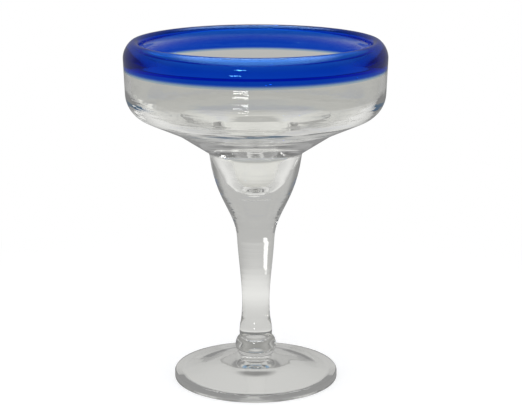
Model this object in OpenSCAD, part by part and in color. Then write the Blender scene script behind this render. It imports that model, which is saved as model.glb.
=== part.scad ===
// Hand-blown margarita glass with a coloured rim.
// Five gathers of glass, each fused to the next: foot, knop, stem, bowl and rim band.
// The axis of the glass is the Z axis, and the foot rests on the plane z = 0.
// Each piece is a section in the radius and height plane, turned once round the axis.
// Neighbouring sections share the same path where they are fused, so they meet face to face.

/* [Foot] */
// Diameter of the foot
foot_d = 81.6; // [72:0.2:92]
// Height of the seat on the boss that carries the knop
foot_h = 13.6; // [12.6:0.1:16]
// Thickness of the foot's edge
foot_edge_t = 4.1; // [3.2:0.1:5]
// Rounding of the foot's edge
foot_edge_r = 0.9; // [0.5:0.1:1.4]
// Diameter at which the boss runs out into the disc
boss_d = 28.4; // [25:0.2:34]
// Height of the disc's top where the boss runs out
boss_z = 10.2; // [9.2:0.1:11.6]
// Slope of the disc's top where it leaves the boss, in degrees
foot_slope_in = 17; // [14:1:20]
// Slope of the disc's top where it meets the edge, in degrees
foot_slope_out = 11; // [8:1:14]
// Width of the ring that the foot rests on, with its rounded edge
rest_ring_w = 5.2; // [3:0.1:9]
// Slope of the hollow under the foot where it leaves that ring, in degrees
kick_slope = 10; // [6:1:12]
// Height of the hollow under the foot
kick_h = 5.4; // [3.6:0.1:6.4]
// Diameter of the pontil mark in the middle of the hollow
pontil_d = 13; // [9:0.5:18]
// Depth of the pontil mark
pontil_depth = 0.7; // [0.3:0.1:1.2]

/* [Knop] */
// Diameter of the knop
knop_d = 20.4; // [18.6:0.2:24]
// Height of the knop from its lower seat to its upper seat
knop_h = 7.7; // [6:0.1:10]
// Height of the knop's widest ring above its lower seat
knop_ring_h = 2.8; // [2:0.1:4]
// Diameter of the lower seat, on the foot's boss
boss_seat_d = 17.2; // [15:0.2:18]
// Diameter of the upper seat, under the stem
stem_seat_d = 15.2; // [14:0.2:16]
// Height by which each seat is domed
seat_dome = 0.9; // [0.4:0.1:1.4]

/* [Stem] */
// Length of the stem from the knop to the neck under the bowl
stem_h = 94; // [86:0.2:120]
// Diameter of the swelling just above the knop
bead_d = 16.4; // [15.4:0.2:18]
// Height of that swelling above the knop
bead_rise = 2.4; // [1.8:0.1:4]
// Diameter of the waist
waist_d = 13.8; // [12:0.2:15.4]
// Height of the waist above the knop
waist_rise = 17.3; // [12:0.1:24]
// Diameter of the shank, where the long taper from the neck ends
shank_d = 18.5; // [16.6:0.1:21]
// Slope of the shank's side from upright, in degrees
shank_lean = 3; // [1:0.5:4]
// Length of the taper from the neck down to the shank
taper_h = 43.5; // [40:0.1:50]
// Diameter of the neck under the bowl
neck_d = 45.6; // [42:0.2:50]
// Thickness of the stem's glass round the mouth of the well
neck_t = 3.6; // [2.8:0.1:4.4]
// Slope of the neck's wall from upright, in degrees
neck_lean = 8; // [5:1:10]
// Rounding in the corner between the neck and the cup
neck_r = 3.2; // [1:0.1:4]

/* [Cup] */
// Diameter of the cup that the stem's gather makes under the bowl
cup_d = 78; // [68:0.5:88]
// Slope of the cup's underside, in degrees
cup_slope = 31; // [29:0.5:36]
// Thickness of the cup's edge
cup_edge_t = 0.6; // [0.3:0.1:0.9]

/* [Bowl] */
// Greatest diameter of the bowl
bowl_d = 127.8; // [118:0.2:144]
// Height of the rim above the cup's edge
bowl_h = 44.3; // [42:0.1:60]
// Slope of the bowl's floor, in degrees
floor_slope = 24; // [20:0.5:26]
// How much narrower the bowl is at the shoulder than at its greatest diameter, on each side
shoulder_inset = 1.05; // [0.4:0.05:2.5]
// Outside rounding of the shoulder
shoulder_r = 13.2; // [8:0.1:16]
// Inside rounding of the shoulder, where the glass is thicker
shoulder_in_r = 13.5; // [8:0.1:16]
// Thickness of the upright wall
wall_t = 2.9; // [2:0.1:4]
// Thickness of the floor
floor_t = 3.2; // [2.2:0.1:4]

/* [Well] */
// Depth of the well, outside, below its mouth
well_depth = 23; // [20:0.1:25]
// Outside radius of the well's round base
base_r = 14.5; // [13:0.1:15.5]
// Thickness of the well's wall and base
well_t = 2.9; // [2:0.1:3.6]
// Outside rounding of the well's mouth
mouth_r = 2.4; // [1:0.1:4]

/* [Rim band] */
// Height of the coloured band below the top of the rim
band_h = 13.8; // [11:0.1:20]
// How far the rolled lip reaches in from the bowl's greatest diameter
lip_inset = 8.1; // [6.4:0.1:9.6]
// Radius of the rolled lip
lip_r = 2.8; // [2.2:0.1:3.2]
// Radius of the band's bulge below the lip
bulge_r = 10; // [8:0.1:14]
// Height by which the seam climbs from the outside of the wall to the inside
scarf_rise = 1.4; // [0.4:0.1:2]
// Angle to which the roll of the lip turns on the inside
lip_turn = 225; // [200:1:235]

/* [Smoothness] */
// Steps in each rounded corner
corner_steps = 8; // [6:1:12]
// Steps in each long curve
curve_steps = 14; // [10:1:18]
// Facets round the axis in the preview
turn_facets = 96; // [48:12:144]

/* [Hidden] */

clear_glass = [0.80, 0.83, 0.81, 0.45];
cobalt_glass = [0.03, 0.20, 0.66, 0.85];

// Heights of the joints between the pieces
knop_z = foot_h;
stem_z = knop_z + knop_h;
neck_z = stem_z + stem_h;
cup_edge_out = sin(floor_slope) * cup_edge_t;
cup_edge_drop = cos(floor_slope) * cup_edge_t;
cup_z = neck_z + (cup_d / 2 + cup_edge_out - neck_d / 2) * tan(cup_slope) + cup_edge_drop;
rim_z = cup_z + bowl_h;

// How far each curve keeps to the direction in which it leaves a point, as a share of its own reach
gentle_share = 0.33;
full_share = 0.55;
neck_reach_share = 0.5;
shank_reach_share = 0.31;
waist_reach_share = 0.7;

// Basic vectors and lines
function direction(v) = atan2(v[1], v[0]);
function unit(v) = v / norm(v);
function left_of(v) = [-v[1], v[0]];
function turned(v, a) = [v[0] * cos(a) - v[1] * sin(a), v[0] * sin(a) + v[1] * cos(a)];
function crossing(p, u, q, v) = p + u * cross(q - p, v) / cross(u, v);
function along(p, q, share) = p + (q - p) * share;
function at_radius(p, q, r) = along(p, q, (r - p[0]) / (q[0] - p[0]));
function at_height(p, q, z) = along(p, q, (z - p[1]) / (q[1] - p[1]));
function reversed(path) = [for (i = [len(path) - 1:-1:0]) path[i]];

// Arc round a centre, from one angle to another
function arc_path(centre, r, from, to) =
    [for (i = [0:curve_steps]) centre + turned([r, 0], from + (to - from) * i / curve_steps)];

// Smooth curve that leaves p towards p_pull and arrives at q from q_pull
function curve_path(p, p_pull, q_pull, q) =
    [for (i = [0:curve_steps])
        let (t = i / curve_steps, u = 1 - t)
        u * u * u * p + 3 * u * u * t * p_pull + 3 * u * t * t * q_pull + t * t * t * q];

// Angle at which a straight leg down from p touches the circle of radius r, seen from its centre
function touch_angle(centre, r, p) = direction(p - centre) - acos(r / norm(p - centre));

// Rounding of radius r in the corner b between a and c
function corner_path(a, b, c, r) =
    let (
        u = unit(a - b),
        v = unit(c - b),
        half = acos(u * v) / 2,
        centre = b + unit(u + v) * r / sin(half),
        start = b + u * r / tan(half) - centre,
        sweep = (180 - 2 * half) * sign(cross(v, u))
    )
    [for (i = [0:corner_steps]) centre + turned(start, sweep * i / corner_steps)];

// A path of straight legs with its corners rounded, where a radius of 0 keeps the corner sharp
function rounded_path(path, radii) =
    [for (i = [0:len(path) - 1])
        each radii[i] == 0 ? [path[i]] : corner_path(path[i - 1], path[i], path[i + 1], radii[i])];

// The path of a wall's other face, with a thickness for each leg
function wall_path(path, legs_t) =
    [for (i = [0:len(path) - 1])
        let (
            before = max(i - 1, 0),
            after = min(i, len(path) - 2),
            u = unit(path[before + 1] - path[before]),
            v = unit(path[after + 1] - path[after]),
            p = path[i] + left_of(u) * legs_t[before],
            q = path[i] + left_of(v) * legs_t[after]
        )
        before == after ? p : crossing(p, u, q, v)];

// Domed seat from the axis to a rim of radius r at height z, lowest on the axis
function seat_path(r, z) =
    [for (i = [0:corner_steps])
        let (share = i / corner_steps)
        [r * share, z - seat_dome * (1 - share * share)]];

// Rim: centre of the rolled lip, and the bulge below it that ends at the bowl's greatest diameter
lip_centre = [bowl_d / 2 - lip_inset + lip_r, rim_z - lip_r];
bulge_turn = acos((bulge_r + lip_centre[0] - bowl_d / 2) / (bulge_r - lip_r));
bulge_centre = lip_centre - turned([bulge_r - lip_r, 0], bulge_turn);
rim_root = [bowl_d / 2, bulge_centre[1]];

// Bubble: the well's round base, then the corners of its outside up to the rim and of its inside
cup_edge = [cup_d / 2, cup_z];
floor_out = [cos(floor_slope), sin(floor_slope)];
shoulder = at_radius(cup_edge, cup_edge + floor_out, bowl_d / 2 - shoulder_inset);
well_mouth = at_radius(cup_edge, shoulder, neck_d / 2 - neck_t);
base_centre = [0, well_mouth[1] - well_depth + base_r];
base_end = touch_angle(base_centre, base_r, well_mouth);
base_outside = arc_path(base_centre, base_r, -90, base_end);
base_inside = arc_path(base_centre, base_r - well_t, -90, base_end);
outside = [base_outside[curve_steps], well_mouth, shoulder, rim_root];
inside = wall_path(outside, [well_t, floor_t, wall_t]);

// Seam between the bowl and the rim band
seam_out = at_height(shoulder, rim_root, rim_z - band_h);
seam_in = at_height(inside[2], inside[3], rim_z - band_h + scarf_rise);

// The bubble's face that the stem's cup is fused to, from the axis to the cup's edge
bubble_seat = concat(base_outside, rounded_path([outside[0], well_mouth, cup_edge], [0, mouth_r, 0]));
bubble_side = rounded_path([cup_edge, shoulder, seam_out], [0, shoulder_r, 0]);
bubble_inside = concat(
    base_inside,
    rounded_path(
        [base_inside[curve_steps], inside[1], inside[2], seam_in],
        [0, mouth_r + well_t, shoulder_in_r, 0]
    )
);

// Stem: the turning points of its outline, and the directions in which its curves leave them
neck = [neck_d / 2, neck_z];
neck_down = -turned([0, 1], -neck_lean);
shank = [shank_d / 2, neck_z - taper_h];
shank_down = -turned([0, 1], -shank_lean);
waist = [waist_d / 2, stem_z + waist_rise];
bead = [bead_d / 2, stem_z + bead_rise];
stem_foot = [stem_seat_d / 2, stem_z];
neck_foot = neck + neck_down * neck_r;
cup_edge_low = cup_edge + [cup_edge_out, -cup_edge_drop];
shank_h = shank[1] - waist[1];
bead_h = waist[1] - bead[1];
stem_curves = concat(
    corner_path(cup_edge_low, neck, neck_foot, neck_r),
    curve_path(
        neck_foot,
        neck_foot + neck_down * taper_h * neck_reach_share,
        shank - shank_down * taper_h * shank_reach_share,
        shank
    ),
    curve_path(
        shank,
        shank + shank_down * shank_h * gentle_share,
        waist + [0, shank_h * gentle_share],
        waist
    ),
    curve_path(
        waist,
        waist - [0, bead_h * waist_reach_share],
        bead + [0, bead_h * gentle_share],
        bead
    ),
    curve_path(
        bead,
        bead - [0, bead_rise * full_share],
        stem_foot + [(bead_d - stem_seat_d) / 2 * full_share, 0],
        stem_foot
    )
);

// Knop: from the upper seat round its widest ring to the lower seat
knop_ring = [knop_d / 2, knop_z + knop_ring_h];
boss_seat = [boss_seat_d / 2, knop_z];
knop_side = concat(
    curve_path(
        stem_foot,
        stem_foot + [(knop_d - stem_seat_d) / 2 * full_share, 0],
        knop_ring + [0, (knop_h - knop_ring_h) * full_share],
        knop_ring
    ),
    curve_path(
        knop_ring,
        knop_ring - [0, knop_ring_h * full_share],
        boss_seat + [(knop_d - boss_seat_d) / 2 * full_share, 0],
        boss_seat
    )
);

// Foot: the boss and the disc's top, the edge, and the hollow underneath
boss_foot = [boss_d / 2, boss_z];
edge_top = [foot_d / 2, foot_edge_t];
edge_low = [foot_d / 2, 0];
disc_out = edge_top - turned([2 * foot_edge_r, 0], -foot_slope_out);
disc_reach = disc_out[0] - boss_foot[0];
ring_in = [foot_d / 2 - rest_ring_w, 0];
pontil_edge = [pontil_d / 2, kick_h];
pontil_in = [pontil_d / 2 - pontil_depth, kick_h + pontil_depth];
kick_reach = ring_in[0] - pontil_edge[0];
foot_top = concat(
    curve_path(
        boss_seat,
        boss_seat - [0, (foot_h - boss_z) * full_share],
        boss_foot - turned([(boss_d - boss_seat_d) / 2 * full_share, 0], -foot_slope_in),
        boss_foot
    ),
    curve_path(
        boss_foot,
        boss_foot + turned([disc_reach * gentle_share, 0], -foot_slope_in),
        disc_out - turned([disc_reach * gentle_share, 0], -foot_slope_out),
        disc_out
    ),
    corner_path(disc_out, edge_top, edge_low, foot_edge_r),
    corner_path(edge_top, edge_low, ring_in, foot_edge_r)
);
foot_under = concat(
    curve_path(
        ring_in,
        ring_in + turned([-kick_reach * gentle_share, 0], -kick_slope),
        pontil_edge + [kick_reach * gentle_share, 0],
        pontil_edge
    ),
    [pontil_in, [0, kick_h + pontil_depth]]
);

// Turn a section round the axis, without the points that its paths share where they join
module turned_piece(section) {
    last = len(section) - 1;
    rotate_extrude($fn = turn_facets)
        polygon([for (i = [0:last]) if (section[i] != section[i == last ? 0 : i + 1]) section[i]]);
}

// Disc with a boss on top and a hollow underneath
module foot() {
    color(clear_glass) turned_piece(concat(seat_path(boss_seat_d / 2, knop_z), foot_top, foot_under));
}

// Flattened button between the foot and the stem
module knop() {
    color(clear_glass)
        turned_piece(concat(
            seat_path(stem_seat_d / 2, stem_z),
            knop_side,
            reversed(seat_path(boss_seat_d / 2, knop_z))
        ));
}

// Solid gather: cup under the bowl, taper, waist and swelling
module stem() {
    color(clear_glass)
        turned_piece(concat(
            bubble_seat,
            stem_curves,
            reversed(seat_path(stem_seat_d / 2, stem_z))
        ));
}

// Blown bubble: well, floor, shoulder and upright wall
module bowl() {
    color(clear_glass) turned_piece(concat(bubble_seat, bubble_side, reversed(bubble_inside)));
}

// Coloured wrap: bulge, rolled lip and the slanted seam to the bowl
module rim_band() {
    lip_end = lip_centre + turned([lip_r, 0], lip_turn);
    lip_drop = lip_end[1] - seam_in[1];
    color(cobalt_glass)
        turned_piece(concat(
            [seam_in, seam_out],
            arc_path(bulge_centre, bulge_r, 0, bulge_turn),
            arc_path(lip_centre, lip_r, bulge_turn, lip_turn),
            curve_path(
                lip_end,
                lip_end + turned([0, lip_drop * gentle_share], lip_turn),
                seam_in + unit(inside[3] - inside[2]) * lip_drop * full_share,
                seam_in
            )
        ));
}

foot();
knop();
stem();
bowl();
rim_band();
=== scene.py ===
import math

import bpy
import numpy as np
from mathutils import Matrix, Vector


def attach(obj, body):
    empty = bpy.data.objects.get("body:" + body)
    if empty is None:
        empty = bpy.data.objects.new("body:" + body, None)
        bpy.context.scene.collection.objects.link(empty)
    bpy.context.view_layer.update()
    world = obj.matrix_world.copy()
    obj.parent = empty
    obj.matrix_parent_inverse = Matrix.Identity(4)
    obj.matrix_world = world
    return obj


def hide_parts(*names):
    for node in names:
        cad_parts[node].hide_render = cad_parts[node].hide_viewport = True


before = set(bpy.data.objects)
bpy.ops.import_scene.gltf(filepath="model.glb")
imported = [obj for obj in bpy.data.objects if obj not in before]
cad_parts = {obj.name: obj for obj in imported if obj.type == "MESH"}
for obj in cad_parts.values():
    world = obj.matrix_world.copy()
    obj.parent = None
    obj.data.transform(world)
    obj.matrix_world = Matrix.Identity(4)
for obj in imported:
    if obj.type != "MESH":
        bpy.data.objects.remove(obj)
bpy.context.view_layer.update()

# A hand-blown margarita glass: a wide shallow bowl with a small well under it, a cobalt-blue rolled rim,
# a solid tapered stem, a knop and a round foot. Each piece is turned here from the outline of its CAD node.
# The order: sizes, outlines, the lathe, glasses, pieces, table and light, camera.

MM = 0.001

# How closely numbers from the CAD meshes have to agree, in metres
ROUNDED_TO = 1e-6        # places are rounded to this before they are gathered into rings
SAME_RING = 5e-6         # rings nearer than this are one ring
TOUCHING = 1e-5          # points nearer than this are in one place, and those nearer to the axis lie on it
NO_LENGTH = 1e-12        # stands in for the length of a leg that has none

# Sizes of the making, in metres and degrees
ROUND_STEPS = 256        # steps round each turned piece
SURFACE_STEP = 1.1 * MM  # about the longest leg of a smoothed outline, seams apart
SURFACE_TURN = 3.0       # about the most that it turns from one leg to the next
CORNER_TURN = 24.0       # an outline that turns more than this at a point has a real corner there
POLISHED_CORNER = 0.35 * MM   # how far the fire rounded the real corners
CORNER_SHARE = 0.3       # most of a leg that such a rounding takes up
CORNER_STEPS = 4         # legs in each rounding
LONG_LEG = 3             # a leg more than this many times its neighbour is straight and leads the curve
SEAM_STEPS = 3           # fewest parts that a leg in a seam is cut into
FUSE_GAP = 0.008 * MM    # each face of a fused seam draws back this far, so that no two are in one place
SWAY = 0.0045            # largest share of its radius by which the hand-turned glass strays inward
DROOP = 0.0030           # largest share of its height by which it sinks
SWAY_WAVES = 18.0        # how fast the sway changes over a metre
DROOP_WAVES = 9.0        # how fast the droop changes over a metre
STRAY_DETAIL = 1.0       # how much finer change both have on top
HAND = 3.0               # place in the noise where the sway is taken from
DROOP_SHIFT = 5.0        # how far from there the droop is taken
CLOSED_WITHIN = 2e-6     # points of the turned mesh nearer than this become one
MOST_BENDS = 4           # a ray that the glass has bent or turned more often than this goes straight on


# Outlines, read from the CAD nodes
def rings_of(node):
    """The rings of vertices that a CAD node is turned from, as (radius, height), and which are linked."""
    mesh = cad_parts[node].data
    spots = np.empty(len(mesh.vertices) * 3)
    mesh.vertices.foreach_get("co", spots)
    spots = spots.reshape(-1, 3)
    marks = np.round(np.c_[np.hypot(spots[:, 0], spots[:, 1]), spots[:, 2]] / ROUNDED_TO).astype(int)
    found, of_spot = np.unique(marks, axis=0, return_inverse=True)
    rings, of_mark = [], []
    for mark in found * ROUNDED_TO:
        same = [k for k, ring in enumerate(rings) if np.hypot(*(ring - mark)) < SAME_RING]
        of_mark.append(same[0] if same else len(rings))
        if not same:
            rings.append(mark)
    of_mark = np.array(of_mark)
    ends = np.empty(len(mesh.edges) * 2, int)
    mesh.edges.foreach_get("vertices", ends)
    pairs = of_mark[of_spot.ravel()[ends.reshape(-1, 2)]]
    links = {tuple(sorted(p)) for p in pairs.tolist() if p[0] != p[1]}
    return rings, links


def outline_of(node):
    """A CAD node's outline as a list of (radius, height): from the axis below, out and up, and back to the
    axis above, or once round where the node is a ring."""
    rings, links = rings_of(node)
    beside = {k: set() for k in range(len(rings))}
    for a, b in links:
        beside[a].add(b)
        beside[b].add(a)
    tips = [k for k, near in beside.items() if len(near) == 1]
    walk = [tips[0] if tips else 0]
    while True:
        ahead = [k for k in beside[walk[-1]] if k not in walk]
        if not ahead:
            break
        walk.append(ahead[0])
    line = [rings[k] for k in walk]
    if tips:
        for end in (0, -1):
            if line[end][0] > TOUCHING:
                line.insert(0 if end == 0 else len(line), np.array((0.0, line[end][1])))
        line[0][0] = line[-1][0] = 0.0
    else:
        line.append(line[0])
    area = sum(a[0] * b[1] - b[0] * a[1] for a, b in zip(line, line[1:] + line[:1]))
    return line if area > 0 else line[::-1]


OUTLINES = {node: outline_of(node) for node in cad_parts}


def fused_legs(node):
    """For each leg of a node's outline, whether it lies on another node's: there the glasses are fused."""
    others = [line for other, line in OUTLINES.items() if other != node]

    def apart(a, b, p, q):
        return np.hypot(*(a - p)) + np.hypot(*(b - q))

    def on(a, b, line):
        return any(min(apart(a, b, p, q), apart(a, b, q, p)) < TOUCHING for p, q in zip(line, line[1:]))

    line = OUTLINES[node]
    return [any(on(a, b, other) for other in others) for a, b in zip(line, line[1:])]


def heading(a, b):
    """The direction from a to b, with length 1."""
    return (b - a) / max(np.hypot(*(b - a)), NO_LENGTH)


def turn_between(u, v):
    """The angle in degrees from direction u to direction v."""
    return math.degrees(math.atan2(u[0] * v[1] - u[1] * v[0], float(np.dot(u, v))))


def rounded_corners(line, fused):
    """The outline with its open corners rounded, as the fire leaves them. Corners at a seam stay."""
    out, out_fused = [line[0]], []
    for k in range(1, len(line) - 1):
        a, p, b = line[k - 1], line[k], line[k + 1]
        shorter = min(np.hypot(*(p - a)), np.hypot(*(b - p)))
        reach = min(POLISHED_CORNER, CORNER_SHARE * shorter)
        open_corner = abs(turn_between(heading(a, p), heading(p, b))) > CORNER_TURN
        if open_corner and not fused[k - 1] and not fused[k]:
            start, end = p - reach * heading(a, p), p + reach * heading(p, b)
            for n in range(CORNER_STEPS + 1):
                t = n / CORNER_STEPS
                out.append((1 - t) ** 2 * start + 2 * t * (1 - t) * p + t * t * end)
                out_fused.append(False)
        else:
            out.append(p)
            out_fused.append(fused[k - 1])
    out.append(line[-1])
    out_fused.append(fused[-1])
    return out, out_fused


def smoothed(line, fused):
    """The outline through the same points as one smooth curve between its corners, in short legs."""
    legs = [heading(a, b) for a, b in zip(line, line[1:])]
    sizes = [np.hypot(*(b - a)) for a, b in zip(line, line[1:])]
    closed = np.hypot(*(line[0] - line[-1])) < TOUCHING

    def way_through(before, after):
        """The curve's heading at a point, from the legs before and after it, or None at a corner."""
        turn = turn_between(legs[before], legs[after])
        if abs(turn) > CORNER_TURN or fused[before] != fused[after]:
            return None
        if sizes[before] > LONG_LEG * sizes[after]:
            return legs[before]
        if sizes[after] > LONG_LEG * sizes[before]:
            return legs[after]
        mixed = legs[before] * sizes[after] + legs[after] * sizes[before]
        return mixed / np.hypot(*mixed)

    out, out_fused = [line[0]], []
    for k, (a, b) in enumerate(zip(line, line[1:])):
        first, last = k == 0, k == len(legs) - 1
        u = way_through(k - 1, k) if not first or closed else None
        v = way_through(k, (k + 1) % len(legs)) if not last or closed else None
        u = legs[k] if u is None else u
        v = legs[k] if v is None else v
        if line[k][0] == 0.0:
            u = legs[k]
        turning = abs(turn_between(u, legs[k])) + abs(turn_between(legs[k], v))
        steps = max(1, math.ceil(turning / SURFACE_TURN), math.ceil(sizes[k] / SURFACE_STEP))
        if fused[k]:
            steps = max(SEAM_STEPS, math.ceil(turning / SURFACE_TURN))
        for n in range(1, steps + 1):
            t = n / steps
            bend = (2 * t**3 - 3 * t**2 + 1) * a + (t**3 - 2 * t**2 + t) * sizes[k] * u
            bend = bend + (3 * t**2 - 2 * t**3) * b + (t**3 - t**2) * sizes[k] * v
            bend = b if n == steps else bend
            out.append(np.array((bend[0], max(bend[1], 0.0))))
            out_fused.append(fused[k])
    return out, out_fused


def seam_apart(line, fused):
    """The outline with the points inside its seams moved a hair's breadth into the piece."""
    moved = []
    for k, p in enumerate(line):
        before = fused[k - 1] if k else fused[0]
        after = fused[k] if k < len(fused) else fused[-1]
        if before and after:
            u = heading(line[max(k - 1, 0)], line[min(k + 1, len(line) - 1)])
            p = p + FUSE_GAP * np.array((-u[1], u[0]))
            p[0] = 0.0 if line[k][0] == 0.0 else p[0]
        moved.append(p)
    return moved


def glass_outline(node):
    """The points that a piece of glass is turned from, and for each 1 where its leg lies in a seam, or 0."""
    line, fused = rounded_corners(OUTLINES[node], fused_legs(node))
    line, fused = smoothed(line, fused)
    return seam_apart(line, fused), [float(f) for f in fused] + [0.0]


# The lathe: a tree that turns an outline
class Tree:
    """A geometry tree under construction: add() makes a node, wires what it is given and returns it."""

    def __init__(self, name, inputs):
        self.tree = bpy.data.node_groups.new(name, "GeometryNodeTree")
        face = self.tree.interface
        face.new_socket("Geometry", in_out="INPUT", socket_type="NodeSocketGeometry")
        for label, kind, value in inputs:
            socket = face.new_socket(label, in_out="INPUT", socket_type=kind)
            if value is not None:
                socket.default_value = value
        face.new_socket("Geometry", in_out="OUTPUT", socket_type="NodeSocketGeometry")
        self.given = self.tree.nodes.new("NodeGroupInput")
        self.made = self.tree.nodes.new("NodeGroupOutput")

    def add(self, kind, *wires, **settings):
        node = self.tree.nodes.new(kind)
        for key, value in settings.items():
            setattr(node, key, value)
        for place, value in wires:
            self.wire(value, node.inputs[place])
        return node

    def wire(self, value, socket):
        if isinstance(value, bpy.types.NodeSocket):
            self.tree.links.new(value, socket)
        else:
            socket.default_value = value

    def maths(self, operation, *values):
        return self.add("ShaderNodeMath", *enumerate(values), operation=operation).outputs[0]

    def socket(self, label):
        return self.given.outputs[label]


def lathe_tree():
    """Turns the input's points, (radius, 0, height), about the Z axis into a closed piece with some sway."""
    lathe = Tree("glass_lathe", [
        ("Steps round", "NodeSocketInt", ROUND_STEPS),
        ("Sway", "NodeSocketFloat", SWAY),
        ("Droop", "NodeSocketFloat", DROOP),
        ("Hand", "NodeSocketFloat", HAND),
        ("Glass", "NodeSocketMaterial", None),
        ("Seam", "NodeSocketMaterial", None),
    ])
    outline, steps = lathe.socket("Geometry"), lathe.socket("Steps round")
    rows = lathe.add("GeometryNodeAttributeDomainSize", (0, outline), component="MESH").outputs["Point Count"]
    columns = lathe.maths("ADD", steps, 1.0)
    grid = lathe.add("GeometryNodeMeshGrid", ("Vertices X", columns), ("Vertices Y", rows))
    index = lathe.add("GeometryNodeInputIndex").outputs[0]

    def split(count):
        """Which run of so many the index falls in, and its place there. Half a step guards the rounding."""
        run = lathe.maths("FLOOR", lathe.maths("DIVIDE", lathe.maths("ADD", index, 0.5), count))
        return run, lathe.maths("SUBTRACT", index, lathe.maths("MULTIPLY", run, count))

    # each grid point takes its radius and height from the outline, and its angle from its column
    column, row = split(rows)
    place = lathe.add("GeometryNodeInputPosition").outputs[0]
    point = lathe.add("GeometryNodeSampleIndex", (0, outline), data_type="FLOAT_VECTOR", domain="POINT")
    lathe.wire(place, point.inputs["Value"])
    lathe.wire(row, point.inputs["Index"])
    apart = lathe.add("ShaderNodeSeparateXYZ", (0, point.outputs[0]))
    angle = lathe.maths("MULTIPLY", lathe.maths("DIVIDE", column, steps), 2 * math.pi)
    turned = lathe.add(
        "ShaderNodeCombineXYZ",
        (0, lathe.maths("MULTIPLY", apart.outputs[0], lathe.maths("COSINE", angle))),
        (1, lathe.maths("MULTIPLY", apart.outputs[0], lathe.maths("SINE", angle))),
        (2, apart.outputs[2]),
    ).outputs[0]

    # the sway and the droop follow from the place alone, so two fused pieces stay together
    def stray(size, reach, shift):
        away = lathe.maths("ADD", lathe.socket("Hand"), shift)
        offset = lathe.add("ShaderNodeCombineXYZ", (2, away)).outputs[0]
        start = lathe.add("ShaderNodeVectorMath", (0, turned), (1, offset), operation="ADD").outputs[0]
        noise = lathe.add("ShaderNodeTexNoise", ("Vector", start), ("Scale", size), ("Detail", STRAY_DETAIL))
        clamp = lathe.add("ShaderNodeClamp", (0, noise.outputs[0])).outputs[0]
        return lathe.maths("SUBTRACT", 1.0, lathe.maths("MULTIPLY", clamp, reach))

    wide = stray(SWAY_WAVES, lathe.socket("Sway"), 0.0)
    tall = stray(DROOP_WAVES, lathe.socket("Droop"), DROOP_SHIFT)
    factors = lathe.add("ShaderNodeCombineXYZ", (0, wide), (1, wide), (2, tall)).outputs[0]
    swayed = lathe.add("ShaderNodeVectorMath", (0, turned), (1, factors), operation="MULTIPLY").outputs[0]
    body = lathe.add("GeometryNodeSetPosition", (0, grid.outputs[0]), ("Position", swayed)).outputs[0]

    # each face between two rows takes the seam mark of its lower row
    fused = lathe.add("GeometryNodeInputNamedAttribute", (0, "fused"), data_type="FLOAT").outputs[0]
    mark = lathe.add("GeometryNodeSampleIndex", (0, outline), data_type="FLOAT", domain="POINT")
    lathe.wire(fused, mark.inputs["Value"])
    lower_row = split(lathe.maths("SUBTRACT", rows, 1.0))[1]
    lathe.wire(lower_row, mark.inputs["Index"])
    body = lathe.add("GeometryNodeStoreNamedAttribute", (0, body), ("Name", "fused"),
                     data_type="FLOAT", domain="FACE")
    lathe.wire(mark.outputs[0], body.inputs["Value"])

    # the poles and the closing column become one, then the shading is smooth but for real corners
    body = lathe.add("GeometryNodeMergeByDistance", (0, body.outputs[0]), ("Distance", CLOSED_WITHIN))
    body = lathe.add("GeometryNodeSetShadeSmooth", (0, body.outputs[0]), domain="FACE")
    body.inputs["Shade Smooth"].default_value = True
    sharp = lathe.add("GeometryNodeInputMeshEdgeAngle").outputs[0]
    corner = lathe.maths("GREATER_THAN", sharp, math.radians(CORNER_TURN))
    edges = lathe.add("GeometryNodeSetShadeSmooth", (0, body.outputs[0]), ("Selection", corner),
                      domain="EDGE")
    edges.inputs["Shade Smooth"].default_value = False
    body = lathe.add("GeometryNodeRealizeInstances", (0, edges.outputs[0])).outputs[0]
    body = lathe.add("GeometryNodeSetMaterial", (0, body), ("Material", lathe.socket("Glass"))).outputs[0]
    seam = lathe.add("GeometryNodeInputNamedAttribute", (0, "fused"), data_type="FLOAT").outputs[0]
    body = lathe.add("GeometryNodeSetMaterial", (0, body), ("Material", lathe.socket("Seam")),
                     ("Selection", lathe.maths("GREATER_THAN", seam, 0.5))).outputs[0]
    lathe.wire(body, lathe.made.inputs[0])
    return lathe.tree


def made_by(tree, name, points, marks, **given):
    """Runs a tree on a row of (radius, height) points with their seam marks, and returns one plain mesh."""
    mesh = bpy.data.meshes.new(name + "_points")
    mesh.from_pydata([(float(r), 0.0, float(z)) for r, z in points], [], [])
    mesh.attributes.new("fused", "FLOAT", "POINT").data.foreach_set("value", marks)
    maker = bpy.data.objects.new(name + "_maker", mesh)
    bpy.context.scene.collection.objects.link(maker)
    modifier = maker.modifiers.new("maker", "NODES")
    modifier.node_group = tree
    for item in tree.interface.items_tree:
        if item.in_out == "INPUT" and item.name in given:
            modifier[item.identifier] = given[item.name]
    seen = maker.evaluated_get(bpy.context.evaluated_depsgraph_get())
    piece = bpy.data.objects.new(name, bpy.data.meshes.new_from_object(seen))
    piece.data.name = name
    maker.modifiers.remove(modifier)
    bpy.data.objects.remove(maker)
    bpy.context.scene.collection.objects.link(piece)
    return piece


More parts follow.
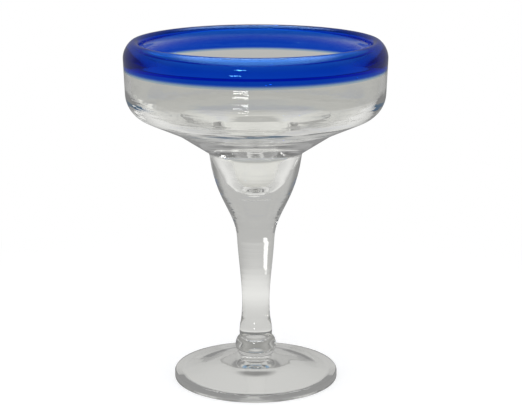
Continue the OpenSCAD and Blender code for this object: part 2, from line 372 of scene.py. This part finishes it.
# The glasses
WHITE = (1.0, 1.0, 1.0, 1.0)
GLASS_IOR = 1.5
CLEAR_COLOUR = (0.96, 0.96, 0.93, 1.0)
CLEAR_SHADE = (0.86, 0.87, 0.86, 1.0)    # tint of the light that clear glass lets onto the table
CLEAR_MARKS = 0.80                       # strength of the hand marks in clear glass
BAND_COLOUR = (0.008, 0.117, 0.90, 1.0)
# paler blue of the rolled lip, partly a painted highlight for the light that the lip gathers
PALE_LIP_AND_PAINTED_HIGHLIGHT = (0.066, 0.33, 0.93, 1.0)
EDGE_COLOUR = (0.75, 0.85, 0.97, 1.0)
COBALT_MIRROR = (0.15, 0.45, 1.0, 1.0)   # tint of what cobalt glass reflects
COBALT_SHADE = (0.25, 0.45, 0.85, 1.0)   # tint of the light that it lets onto the table
COBALT_DEPTH = (0.375, 0.70, 0.925, 1.0)   # with the density, what it absorbs on the way through
COBALT_DENSITY = 400.0
COBALT_MARKS = 0.25                      # strength of the hand marks in cobalt glass
LIP_REACH = (0.1630, 0.1682)   # heights between which the lip gets its paler colour, partly a painted highlight
EDGE_REACH = (0.1564, 0.1580)  # heights between which the blue runs out into the clear wall
MARK_DEPTH = 0.4 * MM          # height of the hand marks at full strength
WAVES, WAVE_SHARE = 55.0, 0.5  # how fast the slow waves change over a metre, and their share of that height
RING_WAVES = (26.0, 26.0, 300.0)  # how fast the rings change over a metre, round the glass and up it
WAVE_DETAIL, RING_DETAIL = 1.5, 2.0   # how much finer change each has on top
RINGS_BELOW = 0.12             # strength of the rings of the tools on the foot and the lower stem
# heights between which the rings change, and by how much: neck, well, shoulder, upright wall
RINGS = ((0.070, 0.088, 0.88), (0.097, 0.104, -0.60), (0.121, 0.127, 0.60), (0.138, 0.150, -0.80))


class Finish:
    """A material under construction, with the same short way of adding nodes as Tree."""

    def __init__(self, name):
        self.material = bpy.data.materials.new(name)
        self.material.use_nodes = True
        self.tree = self.material.node_tree
        self.tree.nodes.clear()
        self.out = self.tree.nodes.new("ShaderNodeOutputMaterial")

    add, wire, maths = Tree.add, Tree.wire, Tree.maths


def falloff(finish, value, start, end, near, far):
    """A smooth change from near to far while value goes from start to end."""
    node = finish.add("ShaderNodeMapRange", (0, value), (1, start), (2, end), (3, near), (4, far),
                      interpolation_type="SMOOTHSTEP")
    return node.outputs[0]


def ways_through(finish, glass, stand_in):
    """Light that the glass would trap goes straight on, and lamps and table meet it as a plain tint."""
    path = finish.add("ShaderNodeLightPath")
    straight = finish.add("ShaderNodeBsdfTransparent", (0, WHITE)).outputs[0]
    clear = finish.add("ShaderNodeBsdfTransparent", (0, stand_in)).outputs[0]
    late = finish.maths("GREATER_THAN", path.outputs["Ray Depth"], MOST_BENDS + 0.5)
    shown = finish.add("ShaderNodeMixShader", (0, late), (1, glass), (2, straight)).outputs[0]
    for kind in ("Is Diffuse Ray", "Is Shadow Ray"):
        shown = finish.add("ShaderNodeMixShader", (0, path.outputs[kind]), (1, shown), (2, clear)).outputs[0]
    finish.wire(shown, finish.out.inputs["Surface"])


def hand_marks(finish, strength):
    """Bump of the hand-worked surface: slow waves, and the rings that the tools left."""
    place = finish.add("ShaderNodeTexCoord").outputs["Object"]
    waves = finish.add("ShaderNodeTexNoise", ("Vector", place), ("Scale", WAVES), ("Detail", WAVE_DETAIL))
    flat = finish.add("ShaderNodeMapping", ("Vector", place))
    flat.inputs["Scale"].default_value = RING_WAVES
    rings = finish.add("ShaderNodeTexNoise", ("Vector", flat.outputs[0]), ("Scale", 1.0),
                       ("Detail", RING_DETAIL))
    up = finish.add("ShaderNodeSeparateXYZ", (0, place)).outputs[2]
    drawn = RINGS_BELOW
    for start, end, change in RINGS:
        drawn = finish.maths("ADD", drawn, falloff(finish, up, start, end, 0.0, change))
    waved = finish.maths("MULTIPLY", waves.outputs[0], WAVE_SHARE)
    height = finish.maths("ADD", waved, finish.maths("MULTIPLY", rings.outputs[0], drawn))
    bump = finish.add("ShaderNodeBump", ("Strength", strength), ("Distance", MARK_DEPTH), ("Height", height))
    return bump.outputs[0]


def clear_glass():
    """Clear recycled glass with a faint warm grey tint."""
    finish = Finish("clear_recycled_glass")
    body = finish.add(
        "ShaderNodeBsdfPrincipled",
        ("Base Color", CLEAR_COLOUR), ("Roughness", 0.0), ("IOR", GLASS_IOR),
        ("Transmission Weight", 1.0), ("Normal", hand_marks(finish, CLEAR_MARKS)),
    ).outputs[0]
    ways_through(finish, body, CLEAR_SHADE)
    return finish.material


def fused_seam():
    """The inside of a fused seam: light goes straight through."""
    finish = Finish("fused_seam")
    straight = finish.add("ShaderNodeBsdfTransparent", (0, WHITE))
    finish.wire(straight.outputs[0], finish.out.inputs["Surface"])
    return finish.material


def cobalt_glass():
    """Cobalt-blue glass, deeper where light goes a long way through it and paler towards the rolled lip,
    where the paler blue is partly a painted highlight for the light that the rolled lip gathers. It bends no
    light at the seam, where it is fused to the clear glass."""
    finish = Finish("cobalt_blue_glass")
    place = finish.add("ShaderNodeTexCoord").outputs["Object"]
    height = finish.add("ShaderNodeSeparateXYZ", (0, place)).outputs[2]
    # towards the lip the colour turns paler, partly a painted highlight
    top = falloff(finish, height, *LIP_REACH, 0.0, 1.0)
    edge = falloff(finish, height, *EDGE_REACH, 1.0, 0.0)
    colour = BAND_COLOUR
    for share, other in ((top, PALE_LIP_AND_PAINTED_HIGHLIGHT), (edge, EDGE_COLOUR)):
        colour = finish.add("ShaderNodeMix", (0, share), (6, colour), (7, other), data_type="RGBA").outputs[2]
    mark = finish.add("ShaderNodeAttribute", attribute_name="fused", attribute_type="GEOMETRY").outputs["Fac"]
    bending = finish.maths("SUBTRACT", GLASS_IOR, finish.maths("MULTIPLY", mark, GLASS_IOR - 1.0))
    body = finish.add(
        "ShaderNodeBsdfPrincipled",
        ("Base Color", colour), ("Roughness", 0.0), ("Specular Tint", COBALT_MIRROR), ("IOR", bending),
        ("Transmission Weight", 1.0), ("Normal", hand_marks(finish, COBALT_MARKS)),
    ).outputs[0]
    ways_through(finish, body, COBALT_SHADE)
    depth = finish.add("ShaderNodeVolumeAbsorption", ("Color", COBALT_DEPTH), ("Density", COBALT_DENSITY))
    finish.wire(depth.outputs[0], finish.out.inputs["Volume"])
    return finish.material


# The pieces
CLEAR, SEAM, COBALT = clear_glass(), fused_seam(), cobalt_glass()
LATHE = lathe_tree()

GLASSES = {
    "foot": (CLEAR, SEAM, "clear_glass"),
    "knop": (CLEAR, SEAM, "clear_glass"),
    "stem": (CLEAR, SEAM, "clear_glass"),
    "bowl": (CLEAR, SEAM, "clear_glass"),
    "rim_band": (COBALT, COBALT, "cobalt_glass"),
}
for node, (glass, seam, slot) in GLASSES.items():
    points, marks = glass_outline(node)
    piece = made_by(LATHE, node + "_glass", points, marks, Glass=glass, Seam=seam)
    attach(piece, "root")
    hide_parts(node)


# Table and light, in metres and in brightness against white, as the glass shows it. On the table, this is
# painted light and shade.
PAINTED_SHADE_NEAR, OUT = 0.66, 0.85       # painted glow of the table beside the foot, dimmed as painted shade for the glass's shadow, and further out
BESIDE_REACH = (0.07, 0.175)   # distances from the glass over which the painted shade fades
BACKDROP, CEILING = 0.52, 0.60   # the studio behind and around, and above
SWEEP_REACH = (0.175, 0.44)    # distances over which the table's painted glow darkens to the backdrop
CEILING_REACH = (0.30, 0.75)   # rise of a direction over which the backdrop turns into the lit ceiling
PAINTED_SHADOW_UNDER = 0.35                   # painted shadow under the middle of the foot: the share of the table's glow left there
UNDER_REACH = (0.004, 0.012)   # distances from the middle over which the painted shadow fades
SCREEN_DARK = 0.45             # how dark the side screens are
SCREEN_EDGES = ((42.0, 58.0), (74.0, 84.0))   # degrees to the side over which they begin and end
MIRRORED = 0.45                # share of all this that the glass reflects from outside
FRONT = 0.55                   # share of it that is left in front, where the camera stands
FRONT_REACH = (-0.60, -0.15)   # depths over which the table's painted glow darkens towards the front
FRONT_TURN = (-0.70, 0.0)      # depth of a direction over which the backdrop does
PAINTED_LIGHT_POOL = 0.65                    # a painted pool of light on the table behind the stem
POOL_SPOT = (-0.16, 0.37, 0.0)
POOL_REACH = (0.06, 0.12, 1.0)
POOL_EDGE = (0.5, 1.0)         # shares of its reach over which it fades
OVERHEAD = 6.0                 # a large diffuser overhead, seen only in plain reflections
OVERHEAD_REACH = (0.70, 0.92)  # rise of a direction over which the diffuser begins
FIRST_TURN = 2.5               # a reflection with less Ray Depth than this in the world is a ray's first
FILL = 0.55                    # the world's light on the table
LIFT = 0.35                    # glow that brings the lit table up to white
WHITE_REACH = (0.12, 0.30)     # distances over which the table turns into plain white for the camera
TABLE_COLOUR = (0.9, 0.9, 0.9, 1.0)
TABLE_HALF = 6.0               # half its length and width
TABLE_DROP = 0.02 * MM         # how far the table lies under the foot's resting ring

# The lamps: place, aim, width, height, brightness, and whether the glass mirrors them
TOP_LAMP = ((0, -0.2, 1.3), (0, 0, 0.1), 2.2, 0.5, 1.5, False)
# Small windows in front, for the glints on the wall and the band: height, place, brightness
WINDOWS = (
    (0.007, (-0.11, -0.52, 0.03), 12.0),
    (0.030, (-0.19, -0.66, 0.17), 25.0),
    (0.050, (-0.17, -0.73, 0.57), 30.0),
)
WINDOW_WIDTH = 0.12
WINDOW_AIM = (0, -0.03, 0.16)


def screens(finish, direction):
    """The share of light that the dark screens on both sides of the studio leave in a direction."""
    apart = finish.add("ShaderNodeSeparateXYZ", (0, direction))
    side = finish.maths("ABSOLUTE", apart.outputs[0])
    along = finish.maths("ABSOLUTE", apart.outputs[1])
    angle = finish.maths("MULTIPLY", finish.maths("ARCTAN2", side, along), 180 / math.pi)
    begun, ended = [falloff(finish, angle, *edge, 0.0, 1.0) for edge in SCREEN_EDGES]
    dark = finish.maths("SUBTRACT", begun, ended)
    return finish.maths("SUBTRACT", 1.0, finish.maths("MULTIPLY", dark, SCREEN_DARK))


def seen_by(finish, *kinds):
    """1 for rays of these kinds and 0 for others."""
    path = finish.add("ShaderNodeLightPath")
    most = path.outputs[kinds[0]]
    for kind in kinds[1:]:
        most = finish.maths("MAXIMUM", most, path.outputs[kind])
    return most


def outside_mirror(finish):
    """1 for rays that the outside of the glass has reflected, and 0 for those that came through the glass."""
    path = finish.add("ShaderNodeLightPath")
    first = finish.maths("LESS_THAN", path.outputs["Ray Depth"], FIRST_TURN)
    return finish.maths("MULTIPLY", path.outputs["Is Reflection Ray"], first)


def reflected(finish):
    """MIRRORED for rays that a surface has just reflected, and 1 for those that came through it."""
    lost = finish.maths("MULTIPLY", seen_by(finish, "Is Reflection Ray"), 1.0 - MIRRORED)
    return finish.maths("SUBTRACT", 1.0, lost)


def glow(finish, strength):
    """A plain white glow."""
    return finish.add("ShaderNodeEmission", (0, WHITE), (1, strength)).outputs[0]


def painted_light_pool(finish, place):
    """The extra brightness of the painted pool of light on the table behind the stem."""
    aside = finish.add("ShaderNodeVectorMath", (0, place), (1, POOL_SPOT), operation="SUBTRACT").outputs[0]
    aside = finish.add("ShaderNodeVectorMath", (0, aside), (1, POOL_REACH), operation="DIVIDE").outputs[0]
    share = finish.add("ShaderNodeVectorMath", (0, aside), operation="LENGTH").outputs["Value"]
    return falloff(finish, share, *POOL_EDGE, PAINTED_LIGHT_POOL, 0.0)


def table_top():
    """A white matt table that turns into plain white away from the glass. The glass sees painted light and
    shade on it instead of its lighting.
    """
    finish = Finish("white_table")
    place = finish.add("ShaderNodeTexCoord").outputs["Object"]
    far = finish.add("ShaderNodeVectorMath", (0, place), operation="LENGTH").outputs["Value"]
    direct = seen_by(finish, "Is Camera Ray")
    bent = seen_by(finish, "Is Glossy Ray", "Is Transmission Ray")
    matt = finish.add("ShaderNodeBsdfDiffuse", (0, TABLE_COLOUR)).outputs[0]
    lift = glow(finish, finish.maths("MULTIPLY", direct, LIFT))
    near = finish.add("ShaderNodeAddShader", (0, matt), (1, lift)).outputs[0]
    away = finish.maths("MULTIPLY", falloff(finish, far, *WHITE_REACH, 0.0, 1.0), direct)
    shown = finish.add("ShaderNodeMixShader", (0, away), (1, near), (2, glow(finish, 1.0))).outputs[0]
    # what the glass sees is a painted glow: painted shade beside and under the foot, darker towards the front
    # and far away, and a painted pool of light behind the stem
    faded = falloff(finish, far, *SWEEP_REACH, 0.0, OUT - BACKDROP)
    lit = finish.maths("SUBTRACT", falloff(finish, far, *BESIDE_REACH, PAINTED_SHADE_NEAR, OUT), faded)
    lit = finish.maths("MULTIPLY", lit, falloff(finish, far, *UNDER_REACH, PAINTED_SHADOW_UNDER, 1.0))
    depth = finish.add("ShaderNodeSeparateXYZ", (0, place)).outputs[1]
    lit = finish.maths("MULTIPLY", lit, falloff(finish, depth, *FRONT_REACH, FRONT, 1.0))
    lit = finish.maths("ADD", lit, painted_light_pool(finish, place))
    lit = finish.maths("MULTIPLY", lit, reflected(finish))
    mix = finish.add("ShaderNodeMixShader", (0, bent), (1, shown), (2, glow(finish, lit))).outputs[0]
    finish.wire(mix, finish.out.inputs["Surface"])
    return finish.material


def build_table():
    """The table that the glass stands on."""
    mesh = bpy.data.meshes.new("table")
    corners = [(x * TABLE_HALF, y * TABLE_HALF, 0) for x, y in ((-1, -1), (1, -1), (1, 1), (-1, 1))]
    mesh.from_pydata(corners, [], [(0, 1, 2, 3)])
    mesh.materials.append(table_top())
    table = bpy.data.objects.new("table", mesh)
    bpy.context.scene.collection.objects.link(table)
    table.location.z = -TABLE_DROP


class Sky(Finish):
    """The world's own tree, under construction like a material."""

    def __init__(self):
        world = bpy.data.worlds.new("studio")
        world.use_nodes = True
        bpy.context.scene.world = world
        self.tree = world.node_tree
        self.tree.nodes.clear()
        self.out = self.tree.nodes.new("ShaderNodeOutputWorld")


def build_sky():
    """White to the camera, the backdrop, ceiling and screens to the glass, and a dimmer fill to the table."""
    sky = Sky()
    direction = sky.add("ShaderNodeTexCoord").outputs["Generated"]
    ways = sky.add("ShaderNodeSeparateXYZ", (0, direction))
    studio = falloff(sky, ways.outputs[2], *CEILING_REACH, BACKDROP, CEILING)
    studio = sky.maths("MULTIPLY", studio, screens(sky, direction))
    studio = sky.maths("MULTIPLY", studio, falloff(sky, ways.outputs[1], *FRONT_TURN, FRONT, 1.0))
    above = falloff(sky, ways.outputs[2], *OVERHEAD_REACH, 0.0, OVERHEAD)
    studio = sky.maths("MULTIPLY", studio, reflected(sky))
    studio = sky.maths("ADD", studio, sky.maths("MULTIPLY", above, outside_mirror(sky)))
    bent = seen_by(sky, "Is Glossy Ray", "Is Transmission Ray")
    direct = seen_by(sky, "Is Camera Ray")
    beyond_fill = sky.maths("MULTIPLY", bent, sky.maths("SUBTRACT", studio, FILL))
    strength = sky.maths("ADD", beyond_fill, FILL)
    strength = sky.maths("ADD", strength, sky.maths("MULTIPLY", direct, 1.0 - FILL))
    back = sky.add("ShaderNodeBackground", (0, WHITE), (1, strength))
    sky.wire(back.outputs[0], sky.out.inputs["Surface"])


def softbox(name, spot, aim, width, height, brightness, mirrored):
    """A soft lamp: a glowing panel at spot that faces aim, its brightness set against white."""
    lamp = bpy.data.lights.new(name, "AREA")
    lamp.shape, lamp.size, lamp.size_y = "RECTANGLE", width, height
    lamp.energy = brightness * width * height * math.pi
    panel = bpy.data.objects.new(name, lamp)
    bpy.context.scene.collection.objects.link(panel)
    panel.location = spot
    panel.rotation_euler = (Vector(aim) - Vector(spot)).to_track_quat("-Z", "Y").to_euler()
    panel.visible_camera = False
    panel.visible_transmission = False
    panel.visible_glossy = mirrored


build_table()
build_sky()
softbox("top_softbox", *TOP_LAMP)
for height, spot, brightness in WINDOWS:
    softbox("window", spot, WINDOW_AIM, WINDOW_WIDTH, height, brightness, True)


# The camera, solved from the photo
CAMERA_SPOT = (0.0026, -0.77465, 0.27654)
CAMERA_DIP = 0.24060         # how far it looks down, in radians
LENS, SENSOR = 111.73, 36.0  # in millimetres
NEAREST = 0.01               # what is nearer to it than this, in metres, isn't drawn
GLASS_BOUNCES, MIRROR_BOUNCES, STRAIGHT_BOUNCES = 28, 10, 32   # enough for a look through the whole glass

scene = bpy.context.scene
camera = bpy.data.objects.new("camera", bpy.data.cameras.new("camera"))
scene.collection.objects.link(camera)
camera.location = CAMERA_SPOT
camera.rotation_euler = (math.pi / 2 - CAMERA_DIP, 0.0, 0.0)
camera.data.sensor_width = SENSOR
camera.data.lens = LENS
camera.data.clip_start = NEAREST
scene.camera = camera

scene.view_settings.view_transform = "Standard"
scene.cycles.max_bounces = GLASS_BOUNCES
scene.cycles.transmission_bounces = GLASS_BOUNCES
scene.cycles.glossy_bounces = MIRROR_BOUNCES
scene.cycles.transparent_max_bounces = STRAIGHT_BOUNCES
